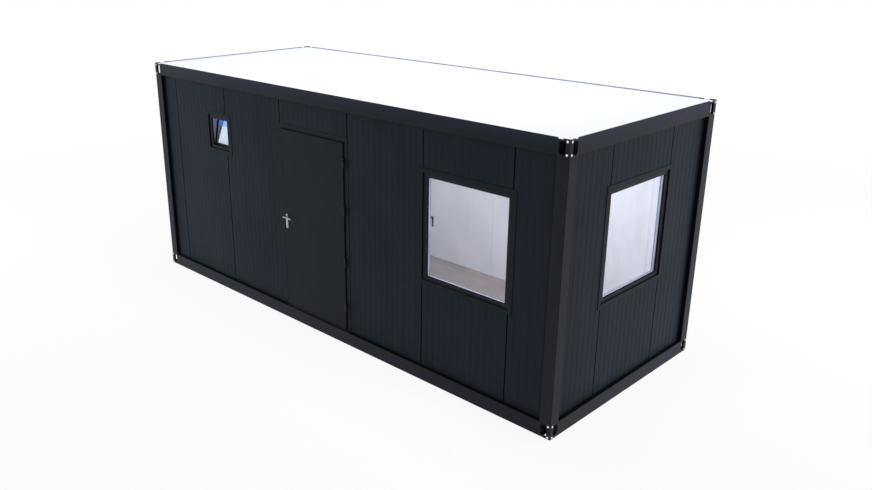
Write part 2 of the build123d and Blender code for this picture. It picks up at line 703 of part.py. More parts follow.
# Lock plates on both faces of the leaf, each with a collar hole and a key cylinder
CYLINDER_R = 8
CYLINDER_PROUD = 3
with BuildPart() as lock_plates:
    for depth, way in ((LEAF_DEPTH, 1), (LEAF_BACK, -1)):
        with BuildSketch(elevation("front", depth)) as plate:
            with Locations((LOCK_X, (PLATE_BOTTOM + PLATE_TOP) / 2)):
                RectangleRounded(PLATE_W, PLATE_TOP - PLATE_BOTTOM, PLATE_W / 3)
            with Locations((LOCK_X, LEVER_LEVEL)):
                Circle(LEVER_R + 1, mode=Mode.SUBTRACT)
        extrude(plate.sketch, amount=way * PLATE_T)
        with BuildSketch(elevation("front", depth)) as cylinder:
            with Locations((LOCK_X, KEY_LEVEL)):
                Circle(CYLINDER_R)
        extrude(cylinder.sketch, amount=way * (PLATE_T + CYLINDER_PROUD))
keep(lock_plates.part, "lock_plates")

# Lever: one round bar, mitred at the corners into a grip on each side of the leaf
OUTER_GRIP_Y = LEAF_DEPTH - LEVER_STANDOFF - WIDTH / 2
INNER_GRIP_Y = LEAF_BACK + LEVER_STANDOFF - WIDTH / 2
LEVER_TIP = LOCK_X + LEVER_LENGTH
TIP_CHAMFER = 2
with BuildPart() as door_lever:
    with BuildLine():
        Polyline(
            (LEVER_TIP, OUTER_GRIP_Y, LEVER_LEVEL), (LOCK_X, OUTER_GRIP_Y, LEVER_LEVEL),
            (LOCK_X, INNER_GRIP_Y, LEVER_LEVEL), (LEVER_TIP, INNER_GRIP_Y, LEVER_LEVEL),
        )
    with BuildSketch(Plane(origin=(LEVER_TIP, OUTER_GRIP_Y, LEVER_LEVEL), z_dir=(-1, 0, 0))):
        Circle(LEVER_R)
    sweep(transition=Transition.RIGHT)
    chamfer(door_lever.faces().sort_by(Axis.X)[-2:].edges(), TIP_CHAMFER)
keep(door_lever.part, "door_lever")
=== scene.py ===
import json
from math import pi, radians

import bpy
import numpy as np
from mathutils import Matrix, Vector


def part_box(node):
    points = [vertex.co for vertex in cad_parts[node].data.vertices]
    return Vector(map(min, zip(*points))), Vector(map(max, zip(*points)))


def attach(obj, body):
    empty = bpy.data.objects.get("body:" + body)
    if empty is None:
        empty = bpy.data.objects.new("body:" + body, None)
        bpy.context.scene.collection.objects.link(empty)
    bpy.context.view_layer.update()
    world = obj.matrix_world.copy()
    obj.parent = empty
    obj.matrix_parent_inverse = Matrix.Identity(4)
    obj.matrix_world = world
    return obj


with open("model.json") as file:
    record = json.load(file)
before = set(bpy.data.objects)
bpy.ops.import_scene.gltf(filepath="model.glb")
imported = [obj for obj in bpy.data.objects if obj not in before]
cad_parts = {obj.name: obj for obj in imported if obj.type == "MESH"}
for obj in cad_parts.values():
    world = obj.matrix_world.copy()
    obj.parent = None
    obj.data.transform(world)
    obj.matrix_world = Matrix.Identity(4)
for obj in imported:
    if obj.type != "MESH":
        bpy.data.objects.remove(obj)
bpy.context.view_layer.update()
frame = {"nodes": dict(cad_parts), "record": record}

# Places read from the frame, in metres
HALF_LENGTH = float(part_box("post_front_right")[1][0])
HALF_WIDTH = float(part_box("post_back_right")[1][1])
ROOM_X = float(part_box("floor_deck")[1][0])
ROOM_Y = float(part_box("floor_deck")[1][1])
CEILING_Z = float(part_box("ceiling_panel")[0][2])
SHEET_T = 0.002
ROOF_LEVEL = float(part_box("roof_sheet")[0][2]) + SHEET_T
WALL_SETBACK = HALF_WIDTH + float(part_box("front_panels_right")[0][1])

# Each side: the way right as seen from outside, the way out, and how far out its face is
SIDES = {
    "front": (np.array((1.0, 0, 0)), np.array((0, -1.0, 0)), HALF_WIDTH),
    "right": (np.array((0, 1.0, 0)), np.array((1.0, 0, 0)), HALF_LENGTH),
    "back": (np.array((-1.0, 0, 0)), np.array((0, 1.0, 0)), HALF_WIDTH),
    "left": (np.array((0, -1.0, 0)), np.array((-1.0, 0, 0)), HALF_LENGTH),
}
HALF_RUN = {"front": HALF_LENGTH, "right": HALF_WIDTH, "back": HALF_LENGTH, "left": HALF_WIDTH}
UP = np.array((0, 0, 1.0))


class Value:
    """A shader socket that sums are written with: every operator adds one Math node."""

    def __init__(self, nodes, socket):
        self.nodes = nodes
        self.socket = socket

    def math(self, operation, *others):
        sockets = {0: self}
        sockets.update({place + 1: other for place, other in enumerate(others)})
        return self.nodes.node("ShaderNodeMath", {"operation": operation}, sockets)

    def __add__(self, other):
        return self.math("ADD", other)

    def __mul__(self, other):
        return self.math("MULTIPLY", other)

    def __sub__(self, other):
        return self.math("SUBTRACT", other)

    def __truediv__(self, other):
        return self.math("DIVIDE", other)

    def __gt__(self, other):
        return self.math("GREATER_THAN", other)

    def __lt__(self, other):
        return self.math("LESS_THAN", other)

    def __rsub__(self, other):
        return (self * -1.0) + other

    def __abs__(self):
        return self.math("ABSOLUTE")

    __radd__ = __add__
    __rmul__ = __mul__


class Nodes:
    """A node tree and the one way in which nodes are added to it."""

    def __init__(self, tree):
        self.tree = tree

    def node(self, kind, settings=None, sockets=None, output=0):
        """Add a node: its settings first, then a value or a link for each named socket."""
        made = self.tree.nodes.new(kind)
        for key, setting in (settings or {}).items():
            setattr(made, key, setting)
        for key, value in (sockets or {}).items():
            if isinstance(value, Value):
                self.tree.links.new(value.socket, made.inputs[key])
            else:
                made.inputs[key].default_value = value
        return Value(self, made.outputs[output])

    def link(self, value, name, socket):
        """Lead a value to a socket of a node that the tree already has."""
        self.tree.links.new(value.socket, self.tree.nodes[name].inputs[socket])

    def mix(self, factor, first, second):
        """Colour mix: first where the factor is 0, second where it is 1."""
        sockets = {0: factor, 6: first, 7: second}
        return self.node("ShaderNodeMix", {"data_type": "RGBA"}, sockets, output=2)


class Paint(Nodes):
    """One material: its patterns on Object coordinates and its Principled shader."""

    def __init__(self, name, **settings):
        self.material = bpy.data.materials.new(name)
        self.material.use_nodes = True
        super().__init__(self.material.node_tree)
        self.shader = self.tree.nodes["Principled BSDF"]
        for socket, value in settings.items():
            self.shader.inputs[socket.replace("_", " ")].default_value = value

    def place(self):
        """Object coordinates, in metres."""
        return self.node("ShaderNodeTexCoord", output="Object")

    def axes(self):
        """The three Object coordinates as numbers."""
        place = self.place()
        return [
            self.node("ShaderNodeSeparateXYZ", None, {0: place}, output=axis) for axis in "XYZ"
        ]

    def stretched(self, scale):
        """Object coordinates multiplied axis by axis, so that a pattern is drawn out."""
        return self.node(
            "ShaderNodeMapping", {"vector_type": "POINT"}, {"Vector": self.place(), "Scale": scale}
        )

    def noise(self, scale, detail=4.0, stretch=(1, 1, 1), roughness=0.55):
        """Cloudy pattern between 0 and 1, as many waves a metre as its scale says."""
        sockets = {"Vector": self.stretched(stretch), "Scale": scale, "Detail": detail}
        sockets["Roughness"] = roughness
        return self.node("ShaderNodeTexNoise", {"noise_dimensions": "3D"}, sockets)

    def cells(self, scale, feature="F1", output="Distance"):
        """Voronoi cells: the distance to a cell's middle, or a colour that each cell has."""
        sockets = {"Vector": self.place(), "Scale": scale}
        return self.node("ShaderNodeTexVoronoi", {"feature": feature}, sockets, output)

    def band(self, value, low, high):
        """0 below low, 1 above high, an even slope between."""
        sockets = {"Value": value, "From Min": low, "From Max": high, "To Min": 0.0, "To Max": 1.0}
        return self.node("ShaderNodeMapRange", {"clamp": True}, sockets)

    def bump(self, height, distance, strength=1.0):
        """Feed the shader's normal with a height, in metres of relief."""
        sockets = {"Height": height, "Distance": distance, "Strength": strength}
        self.feed("Normal", self.node("ShaderNodeBump", None, sockets))

    def feed(self, socket, value):
        """Lead a value to a socket of the shader."""
        self.tree.links.new(value.socket, self.shader.inputs[socket])


def rgb(red, green, blue):
    """Colour given as eight-bit screen values, turned linear."""
    screen = np.array((red, green, blue)) / 255.0
    linear = np.where(screen <= 0.04045, screen / 12.92, ((screen + 0.055) / 1.055) ** 2.4)
    return (*[float(part) for part in linear], 1.0)


# Finishes
ANTHRACITE_WALL = rgb(35, 41, 51)
ANTHRACITE_WALL_SOFT = rgb(31, 37, 46)
ANTHRACITE_FRAME = rgb(34, 38, 47)
ANTHRACITE_FRAME_SOFT = rgb(30, 34, 42)
# Black painted shade for the panel edges in the joints and recesses
JOINT_SHADE_BLACK = rgb(7, 8, 9)
DUST = rgb(92, 92, 92)
INSIDE_WHITE = rgb(230, 231, 235)
INSIDE_SHADE = rgb(213, 215, 223)
MODULE = 1.008
RIBS_PER_MODULE = 13
RIB_PITCH = MODULE / RIBS_PER_MODULE
JOINT_FROM = 0.0025
JOINT_TO = 0.022
SKIN = 0.0006
WALL_REACH = 0.002


def lacquer(paint, colour, soft_colour):
    """Powder coat: soft clouds in the tone, orange-peel relief, thin dust near the ground."""
    clouds = paint.noise(1.7, 3.0)
    runs = paint.noise(9.0, 3.0, (1.0, 1.0, 0.12))
    tone = paint.band(clouds * 0.7 + runs * 0.3, 0.38, 0.62)
    coat = paint.mix(tone, colour, soft_colour)
    x, y, z = paint.axes()
    grime = paint.noise(14.0, 6.0, (1.0, 1.0, 0.5))
    low = 1.0 - paint.band(z, 0.0, 0.45)
    dust = low * paint.band(grime, 0.5, 0.8) * 0.05
    coat = paint.mix(dust, coat, DUST)
    peel = paint.noise(420.0, 2.0)
    scuffs = paint.noise(60.0, 5.0)
    paint.bump(peel * 0.7 + scuffs * 0.3, 0.00012, 0.35)
    return coat, paint.band(scuffs, 0.3, 0.75), (x, y, z)


def depth_behind(x, y, setback):
    """How far a point lies behind the nearest of four vertical planes, setback inside the frame."""
    behind_ends = (HALF_LENGTH - setback) - abs(x)
    behind_sides = (HALF_WIDTH - setback) - abs(y)
    return behind_ends.math("MINIMUM", behind_sides)


def wall_paint():
    """Sandwich panel: anthracite lacquer outside, its edge faces in the joints and recesses painted
    black as painted shade; white inside, with darker lines at the rib pitch as painted shade.
    """
    paint = Paint("wall_panel_lacquer", Specular_IOR_Level=0.07)
    coat, scuffs, (x, y, z) = lacquer(paint, ANTHRACITE_WALL, ANTHRACITE_WALL_SOFT)
    depth = depth_behind(x, y, WALL_SETBACK)
    # Painted shade: faces 2.5 to 22 mm behind the wall's face, the panel edges in the joints and
    # recesses, are coloured black.
    edge = (depth > JOINT_FROM) * (depth < JOINT_TO)
    coat = paint.mix(edge, coat, JOINT_SHADE_BLACK)
    inside = (abs(x) < ROOM_X + SKIN) * (abs(y) < ROOM_Y + SKIN)
    along = x * (abs(y) > ROOM_Y - WALL_REACH) + y * (abs(x) > ROOM_X - WALL_REACH)
    rib = abs((along / RIB_PITCH).math("FRACT") - 0.5)
    # Painted shade: darker lines at the rib pitch stand for the shade in the inner sheet's rib
    # creases.
    rib_shade_line = (rib < 0.035) * 0.6
    sheet = paint.mix(paint.noise(2.2, 3.0), INSIDE_WHITE, INSIDE_SHADE)
    sheet = paint.mix(rib_shade_line, sheet, INSIDE_SHADE)
    paint.feed("Base Color", paint.mix(inside, coat, sheet))
    paint.feed("Roughness", scuffs * 0.1 + 0.5 + inside * 0.05)
    return paint.material


LEAN_FROM = 2.50
LEAN_TO = 2.58


def frame_paint():
    """Frame members: anthracite lacquer, with a painted highlight that makes the roof rails'
    leaning web paler and bluer.
    """
    paint = Paint("frame_lacquer", Specular_IOR_Level=0.1)
    coat, scuffs, (x, y, z) = lacquer(paint, ANTHRACITE_FRAME, ANTHRACITE_FRAME_SOFT)
    # Painted highlight: the roof rails' leaning web is coloured paler and bluer towards the top, as
    # if lit from above.
    leaning_web_highlight = paint.band(z, LEAN_FROM, LEAN_TO)
    paint.feed("Base Color", paint.mix(leaning_web_highlight * 0.8, coat, rgb(43, 49, 63)))
    paint.feed("Roughness", scuffs * 0.12 + 0.42)
    return paint.material


def trim_paint():
    """Folded trims and the door's casing: the same lacquer on smooth sheet."""
    paint = Paint("trim_lacquer", Specular_IOR_Level=0.07)
    coat, scuffs, _ = lacquer(paint, rgb(33, 38, 45), rgb(30, 34, 40))
    paint.feed("Base Color", coat)
    paint.feed("Roughness", scuffs * 0.1 + 0.46)
    return paint.material


def door_paint():
    """Door leaf: smooth lacquered sheet with a hint of rolled grain up the leaf."""
    paint = Paint("door_lacquer", Specular_IOR_Level=0.07)
    coat, scuffs, _ = lacquer(paint, rgb(31, 36, 43), rgb(28, 33, 39))
    grain = paint.noise(160.0, 2.0, (1.0, 1.0, 0.02))
    paint.feed("Base Color", paint.mix(grain * 0.15, coat, rgb(26, 29, 33)))
    paint.feed("Roughness", scuffs * 0.1 + 0.44)
    return paint.material


HINGE_X = 0.405
HINGE_Y = 0.014 - HALF_WIDTH
BARREL_R = 0.0096


def hinge_paint():
    """Hinges: flags lacquered with the door, barrels in dark grey worn to steel in small flecks."""
    paint = Paint("hinge_lacquer", Specular_IOR_Level=0.2)
    coat, scuffs, (x, y, z) = lacquer(paint, rgb(33, 37, 42), rgb(30, 34, 38))
    across, behind = x - HINGE_X, y - HINGE_Y
    barrel = (across * across + behind * behind) < BARREL_R ** 2
    grey = paint.mix(scuffs, rgb(50, 52, 54), rgb(40, 42, 44))
    flecks = paint.band(paint.noise(340.0, 4.0), 0.66, 0.72) * barrel
    coat = paint.mix(barrel, coat, grey)
    paint.feed("Base Color", paint.mix(flecks * 0.4, coat, rgb(120, 120, 118)))
    paint.feed("Metallic", flecks * 0.7)
    paint.feed("Roughness", scuffs * 0.15 + 0.36)
    return paint.material


def seal_rubber(name="seal_rubber", colour=rgb(9, 9, 10), dusty=rgb(38, 38, 38)):
    """Rubber: dead matt, very slightly dusty."""
    paint = Paint(name, Specular_IOR_Level=0.08)
    dust = paint.band(paint.noise(38.0, 5.0), 0.55, 0.8) * 0.12
    paint.feed("Base Color", paint.mix(dust, colour, dusty))
    paint.feed("Roughness", dust * 0.5 + 0.8)
    paint.bump(paint.noise(900.0, 2.0), 0.00006, 0.3)
    return paint.material


# Depths behind the frame's face where a window's parts change colour
REVEAL_SHADE_DEPTH = 0.0497
STOP_BACK = 0.0705
SASH_FRONT = 0.0865
SASH_BACK = 0.1015
FOIL_TONES = (rgb(28, 31, 36), rgb(32, 35, 40))
SASH_TONES = (rgb(9, 9, 11), rgb(13, 13, 15))


def profile_plastic(name="window_profile_foil", tones=FOIL_TONES, inner_face=False):
    """Window profiles: foil-grained dark plastic; the reveals between trim and frame are painted
    black as painted shade.

    The small window's frame is white plastic behind its stop, as such frames are inside, coloured
    there a pale blue-grey as painted shade.
    """
    paint = Paint(name, Specular_IOR_Level=0.12)
    x, y, z = paint.axes()
    grain = paint.noise(240.0, 3.0, (1.0, 1.0, 0.08))
    skin = paint.mix(grain, *tones)
    depth = depth_behind(x, y, 0.0)
    # Painted shade: the reveals near the frame's face are coloured near black.
    skin = paint.mix(depth < REVEAL_SHADE_DEPTH, skin, rgb(8, 8, 9))
    if inner_face:
        # Painted shade: behind the stop the white plastic is coloured pale blue-grey.
        skin = paint.mix(depth > STOP_BACK, skin, rgb(176, 184, 216))
    paint.feed("Base Color", skin)
    paint.feed("Roughness", grain * 0.14 + 0.42)
    paint.bump(grain, 0.00009, 0.4)
    return paint.material


def inner_white():
    """White plastic inside: sash profiles and the ceiling's face, with the window reveals coloured
    blue-grey as painted shade.
    """
    paint = Paint("inner_white", Specular_IOR_Level=0.35)
    x, y, z = paint.axes()
    depth = depth_behind(x, y, 0.0)
    clouds = paint.noise(3.0, 3.0)
    white = paint.mix(clouds, rgb(232, 234, 242), rgb(222, 225, 236))
    # Painted shade: the band between the sash's front and back depths is coloured blue-grey.
    shaded_reveal = (depth > SASH_FRONT) * (depth < SASH_BACK)
    paint.feed("Base Color", paint.mix(shaded_reveal * (z < CEILING_Z), white, rgb(106, 112, 142)))
    paint.feed("Roughness", paint.noise(30.0, 4.0) * 0.12 + 0.34)
    paint.bump(paint.noise(300.0, 2.0), 0.00005, 0.3)
    return paint.material


TRAY_INSET = 0.013
RIM_FROM = ROOF_LEVEL + 0.0003


def roof_white():
    """White coated sheet: clouds, rain marks, a rim coloured blue-grey as painted shade, and dark
    tabs over the fittings.
    """
    paint = Paint("roof_sheet_white", Specular_IOR_Level=0.3)
    clouds = paint.noise(0.9, 3.0)
    marks = paint.band(paint.cells(2.6, "SMOOTH_F1"), 0.0, 0.55)
    sheet = paint.mix(clouds, rgb(247, 248, 250), rgb(241, 243, 246))
    sheet = paint.mix(marks * 0.12, sheet, rgb(232, 234, 238))
    x, y, z = paint.axes()
    # Painted shade: the upturned rim above the sheet's level is coloured blue-grey.
    sheet = paint.mix(z > RIM_FROM, sheet, rgb(150, 162, 206))
    tabs = (abs(x) > HALF_LENGTH - TRAY_INSET).math("MAXIMUM", abs(y) > HALF_WIDTH - TRAY_INSET)
    paint.feed("Base Color", paint.mix(tabs, sheet, ANTHRACITE_FRAME))
    paint.feed("Roughness", paint.noise(24.0, 4.0) * 0.15 + 0.4)
    paint.bump(paint.noise(200.0, 2.0), 0.00008, 0.3)
    return paint.material


def galvanised_steel():
    """Zinc: angular spangles, each with its own grey and gloss."""
    paint = Paint("galvanised_steel", Metallic=0.85)
    spangle = paint.cells(34.0, output="Color")
    grey = paint.node("ShaderNodeSeparateColor", None, {0: spangle})
    paint.feed("Base Color", paint.mix(grey, rgb(128, 131, 134), rgb(168, 171, 174)))
    paint.feed("Roughness", grey * 0.2 + 0.38)
    paint.bump(paint.cells(34.0), 0.0001, 0.3)
    return paint.material


BOARD_W = 0.192
BOARD_L = 1.29
BOARD_SHIFT = 0.37


def floor_boards():
    """Laminate boards along the room: grey oak, staggered ends, fine dark joints."""
    paint = Paint("floor_boards", Specular_IOR_Level=0.3)
    x, y, z = paint.axes()
    across = y / BOARD_W
    row = across.math("FLOOR")
    along = x / BOARD_L + row * BOARD_SHIFT
    board = along.math("FLOOR")
    spread = paint.node("ShaderNodeCombineXYZ", None, {0: row, 1: board})
    own = paint.node("ShaderNodeTexWhiteNoise", {"noise_dimensions": "3D"}, {"Vector": spread})
    grain = paint.noise(26.0, 6.0, (0.09, 1.0, 1.0), 0.62)
    pores = paint.noise(190.0, 3.0, (0.05, 1.0, 1.0))
    wood = paint.mix(own, rgb(160, 149, 145), rgb(141, 131, 128))
    wood = paint.mix(paint.band(grain, 0.35, 0.7) * 0.55, wood, rgb(120, 110, 107))
    wood = paint.mix(paint.band(pores, 0.6, 0.75) * 0.3, wood, rgb(106, 95, 92))
    side_joint = abs(across.math("FRACT") - 0.5) > 0.4925
    end_joint = abs(along.math("FRACT") - 0.5) > 0.4988
    joint = side_joint.math("MAXIMUM", end_joint)
    paint.feed("Base Color", paint.mix(joint * 0.6, wood, rgb(76, 68, 65)))
    paint.feed("Roughness", grain * 0.2 + 0.34)
    paint.bump(pores * 0.5 - joint, 0.0004, 0.4)
    return paint.material


SILL_RIB = 0.009


def threshold_metal():
    """Ribbed sill plate of dark anodised metal."""
    paint = Paint("threshold_metal", Metallic=0.6)
    x, y, z = paint.axes()
    ribs = (y / SILL_RIB).math("FRACT")
    paint.feed("Base Color", paint.mix(paint.noise(80.0), rgb(40, 42, 45), rgb(56, 58, 61)))
    paint.feed("Roughness", paint.noise(50.0) * 0.2 + 0.4)
    paint.bump(abs(ribs - 0.5), 0.0006, 0.5)
    return paint.material


def brushed_handle():
    """Satin stainless steel: fine brushing, a few cloudy finger marks."""
    paint = Paint("brushed_handle", Metallic=1.0)
    brush = paint.noise(700.0, 2.0, (1.0, 1.0, 0.06))
    marks = paint.band(paint.noise(40.0, 4.0), 0.5, 0.75)
    paint.feed("Base Color", paint.mix(marks, rgb(168, 170, 184), rgb(146, 149, 164)))
    paint.feed("Roughness", brush * 0.12 + marks * 0.1 + 0.28)
    paint.bump(brush, 0.00004, 0.4)
    return paint.material


def bright_zinc():
    """Bright plated screw heads with a slightly uneven gloss."""
    paint = Paint("bright_zinc", Metallic=0.95)
    clouds = paint.noise(150.0, 3.0)
    paint.feed("Base Color", paint.mix(clouds, rgb(250, 250, 250), rgb(226, 228, 232)))
    paint.feed("Roughness", clouds * 0.15 + 0.2)
    return paint.material


SPACER_DOT = 0.006


def spacer_metal():
    """Pale anodised bar between the panes, dotted with fine perforations."""
    paint = Paint("glazing_spacer", Metallic=0.3)
    x, y, z = paint.axes()
    dots = abs((x / SPACER_DOT).math("FRACT") - 0.5) < 0.12
    tone = paint.mix(paint.noise(90.0), rgb(196, 201, 218), rgb(176, 182, 202))
    paint.feed("Base Color", paint.mix(dots * 0.3, tone, rgb(110, 118, 142)))
    paint.feed("Roughness", paint.noise(90.0) * 0.2 + 0.4)
    return paint.material


SMALL_PANE_X = -1.5
# Heights of the painted sky reflection on the small pane, and the strength of its painted glow
BLUE_FROM = 1.972
PALE_FROM, PALE_TO = 1.86, 1.78
PAINTED_GLOW_STRENGTH = 0.6


def window_glass():
    """Clear panes with a blue-grey cast; the small one mirror-coated, with a painted reflection of
    the sky on it, blue above and pale below, and a faint painted glow.
    """
    paint = Paint("window_glass", Specular_IOR_Level=0.5, Emission_Strength=PAINTED_GLOW_STRENGTH)
    x, y, z = paint.axes()
    small = x < SMALL_PANE_X
    smear = paint.band(paint.noise(6.0, 5.0, (1.0, 1.0, 0.4)), 0.45, 0.8)
    clear = paint.mix(smear, rgb(128, 142, 168), rgb(154, 165, 184))
    # Painted reflection: the small pane's colour is a picture of the sky, pale below and blue in a
    # band at the top.
    painted_sky_reflection = paint.mix(paint.noise(18.0, 3.0), rgb(226, 236, 250), rgb(208, 224, 244))
    painted_sky_reflection = paint.mix(paint.band(z, PALE_FROM, PALE_TO), painted_sky_reflection, rgb(196, 214, 226))
    painted_sky_reflection = paint.mix(z > BLUE_FROM, painted_sky_reflection, rgb(140, 182, 246))
    paint.feed("Base Color", paint.mix(small, clear, painted_sky_reflection))
    paint.feed("Metallic", small * 0.85)
    paint.feed("Roughness", smear * 0.05 + small * 0.06 + 0.03)
    paint.feed("Alpha", (smear * 0.03 + 0.05).math("MAXIMUM", small * 0.95))
    # Painted glow: the small pane emits a faint sky blue at the top and a dim blue-grey below,
    # though it is no lamp.
    painted_sky_glow = paint.mix(z > BLUE_FROM, rgb(40, 47, 60), rgb(66, 108, 176))
    paint.feed("Emission Color", paint.mix(small, rgb(0, 0, 0), painted_sky_glow))
    return paint.material


FINISH_OF_SLOT = {
    "frame_paint": frame_paint(),
    "galvanised": galvanised_steel(),
    "floor_boards": floor_boards(),
    "inner_white": inner_white(),
    "roof_white": roof_white(),
    "wall_panel": wall_paint(),
    "black_seal": seal_rubber(),
    "trim_paint": trim_paint(),
    "window_profile": profile_plastic(),
    "window_glass": window_glass(),
    "threshold_metal": threshold_metal(),
    "door_paint": door_paint(),
    "hinge_paint": hinge_paint(),
    "handle_metal": brushed_handle(),
}
FINISH_OF_NODE = {
    "small_window_frame": profile_plastic("small_frame_foil", inner_face=True),
    "small_window_sash": profile_plastic("small_sash_foil", SASH_TONES),
}
for part in frame["record"]["subparts"]:
    carried = frame["nodes"][part["node"]]
    carried.data.materials.clear()
    carried.data.materials.append(
        FINISH_OF_NODE.get(part["node"], FINISH_OF_SLOT[part["material_slot"]])
    )


def place_on(side, along, level, depth):
    """Points of a side: metres to the right from its middle, height, depth behind its face."""
    right, out, reach = SIDES[side]
    along, level, depth = np.broadcast_arrays(along, level, depth)
    return (
        along[..., None] * right + level[..., None] * UP + (reach - depth)[..., None] * out
    )


def grid_faces(rows, columns, first, wrap_rows=False):
    """Quads of a grid of points stored row by row; columns always close into a ring."""
    last_row = rows if wrap_rows else rows - 1
    row, column = np.meshgrid(np.arange(last_row), np.arange(columns), indexing="ij")
    next_row = (row + 1) % rows
    next_column = (column + 1) % columns
    quads = np.stack(
        (
            row * columns + column, row * columns + next_column,
            next_row * columns + next_column, next_row * columns + column,
        ),
        axis=-1,
    )
    return quads.reshape(-1, 4) + first


def make_piece(name, points, faces, material, body="cabin", smooth=True):
    """Mesh from whole arrays; the object stays at the origin, rides on a body and has a slot."""
    mesh = bpy.data.meshes.new(name)
    mesh.from_pydata(points.tolist(), [], [tuple(face) for face in faces])
    mesh.materials.append(material)
    mesh.polygons.foreach_set("use_smooth", np.full(len(mesh.polygons), smooth))
    mesh.update()
    piece = bpy.data.objects.new(name, mesh)
    bpy.context.scene.collection.objects.link(piece)
    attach(piece, body)


def turned_heads(name, places, profile, material, body="cabin", around=24, squeeze=1.0):
    """Screw heads and the like: a profile of (radius, stand-off) turned about an outward axis.

    Point = place + radius * (squeeze * way * right * cos a + up * sin a) + stand-off * way * out,
    for a from 0 to 2 pi. way is 1 for a head that faces out and -1 for one that faces the room.
    """
    angle = np.linspace(0, 2 * pi, around, endpoint=False)
    radius, rise = np.array(profile).T
    points, faces, first = [], [], 0
    for side, along, level, depth, way in places:
        right, out, _ = SIDES[side]
        centre = place_on(side, np.array(along), np.array(level), np.array(depth))
        ring = squeeze * way * right * np.cos(angle)[:, None] + UP * np.sin(angle)[:, None]
        head = centre + radius[:, None, None] * ring[None] + way * rise[:, None, None] * out
        points.append(head.reshape(-1, 3))
        faces += grid_faces(len(profile), around, first).tolist()
        last = first + around * (len(profile) - 1)
        faces.append(list(range(last, last + around)))
        faces.append(list(range(first, first + around))[::-1])
        first += around * len(profile)
    make_piece(name, np.concatenate(points), faces, material, body)


# Bright bolts beside the lifting slots, two to each outer face of every fitting
BOLT_EDGE = 0.026
BOLT_LEVELS = (0.017, 0.121, 2.475, 2.579)
BOLT_PROFILE = [
    (0.0100, 0.0), (0.0100, 0.0015), (0.0092, 0.0028), (0.0060, 0.0038), (0.0020, 0.0040),
]
bolt_places = [
    (side, end * (HALF_RUN[side] - BOLT_EDGE), level, 0.0, 1)
    for side in SIDES
    for end in (-1, 1)
    for level in BOLT_LEVELS
]
turned_heads("corner_bolts", bolt_places, BOLT_PROFILE, bright_zinc())

# Hinge screws: two in every flag, on the casing below each knuckle and on the leaf above it
HINGE_LEVELS = (0.405, 0.903, 1.449, 1.945)
FLAG_STEPS = (0.012, 0.036)
CASING_SCREW_X, CASING_FACE = 0.4187, 0.032
LEAF_SCREW_X, LEAF_FACE = 0.3930, 0.019
SMALL_SCREW = [(0.0027, 0.0), (0.0027, 0.0006), (0.0020, 0.0013), (0.0005, 0.0015)]
turned_heads(
    "hinge_screws_casing",
    [
        ("front", CASING_SCREW_X, level - step, CASING_FACE, 1)
        for level in HINGE_LEVELS
        for step in FLAG_STEPS
    ],
    SMALL_SCREW, hinge_paint(), around=12,
)
turned_heads(
    "hinge_screws_leaf",
    [
        ("front", LEAF_SCREW_X, level + step, LEAF_FACE, 1)
        for level in HINGE_LEVELS
        for step in FLAG_STEPS
    ],
    SMALL_SCREW, hinge_paint(), "door", around=12,
)

# Lock plates, outside and inside: a screw at each end and the key cylinder's face with its slot
LOCK_X = -0.529
KEY_LEVEL = 1.112
PLATE_SCREWS = (1.0655, 1.2085)
OUTER_PLATE = 0.018
INNER_PLATE = 0.071
KEY_PROUD = 0.003
KEY_FACE_PROUD = 0.001
PLATE_SCREW = [(0.0036, 0.0), (0.0036, 0.0003), (0.0030, 0.0007), (0.0006, 0.0008)]
KEY_FACE = [(0.0074, 0.0), (0.0074, 0.0004), (0.0068, 0.0009), (0.0050, 0.0010), (0.0008, 0.0010)]
KEY_SLOT = [(0.0042, 0.0), (0.0042, 0.0003), (0.0006, 0.0003)]
both_faces = [(OUTER_PLATE, 1), (INNER_PLATE, -1)]
turned_heads(
    "plate_screws",
    [("front", LOCK_X, level, depth, way) for depth, way in both_faces for level in PLATE_SCREWS],
    PLATE_SCREW, brushed_handle(), "door", around=16,
)
turned_heads(
    "key_faces",
    [("front", LOCK_X, KEY_LEVEL, depth - way * KEY_PROUD, way) for depth, way in both_faces],
    KEY_FACE, bright_zinc(), "door", around=32,
)
turned_heads(
    "key_slots",
    [
        ("front", LOCK_X, KEY_LEVEL, depth - way * (KEY_PROUD + KEY_FACE_PROUD), way)
        for depth, way in both_faces
    ],
    KEY_SLOT, seal_rubber(), "door", around=16, squeeze=0.16,
)


def run_round(name, openings, profile, material, smooth=False):
    """Bar run round rectangular openings, mitred at the corners.

    profile holds (inset from the opening's edge, depth) points of the bar's closed section. Each of
    the four corners carries the section on its diagonal: corner - inset * (sign across, sign up).
    """
    inset, depth = np.array(profile).T
    signs = np.array([(-1, -1), (1, -1), (1, 1), (-1, 1)])
    points, faces, first = [], [], 0
    for side, left, right, bottom, top in openings:
        corner_along = np.where(signs[:, 0] < 0, left, right)
        corner_level = np.where(signs[:, 1] < 0, bottom, top)
        along = corner_along[:, None] - signs[:, :1] * inset[None]
        level = corner_level[:, None] - signs[:, 1:] * inset[None]
        bar = place_on(side, along, level, np.broadcast_to(depth, along.shape))
        points.append(bar.reshape(-1, 3))
        faces += grid_faces(4, len(profile), first, wrap_rows=True)[:, ::-1].tolist()
        first += 4 * len(profile)
    make_piece(name, np.concatenate(points), faces, material, smooth=smooth)


def round_bar(inset, depth, radius, steps=12):
    """Section of a round gasket, as (inset, depth) points."""
    angle = np.linspace(0, 2 * pi, steps, endpoint=False)
    return list(zip(inset + radius * np.cos(angle), depth + radius * np.sin(angle)))


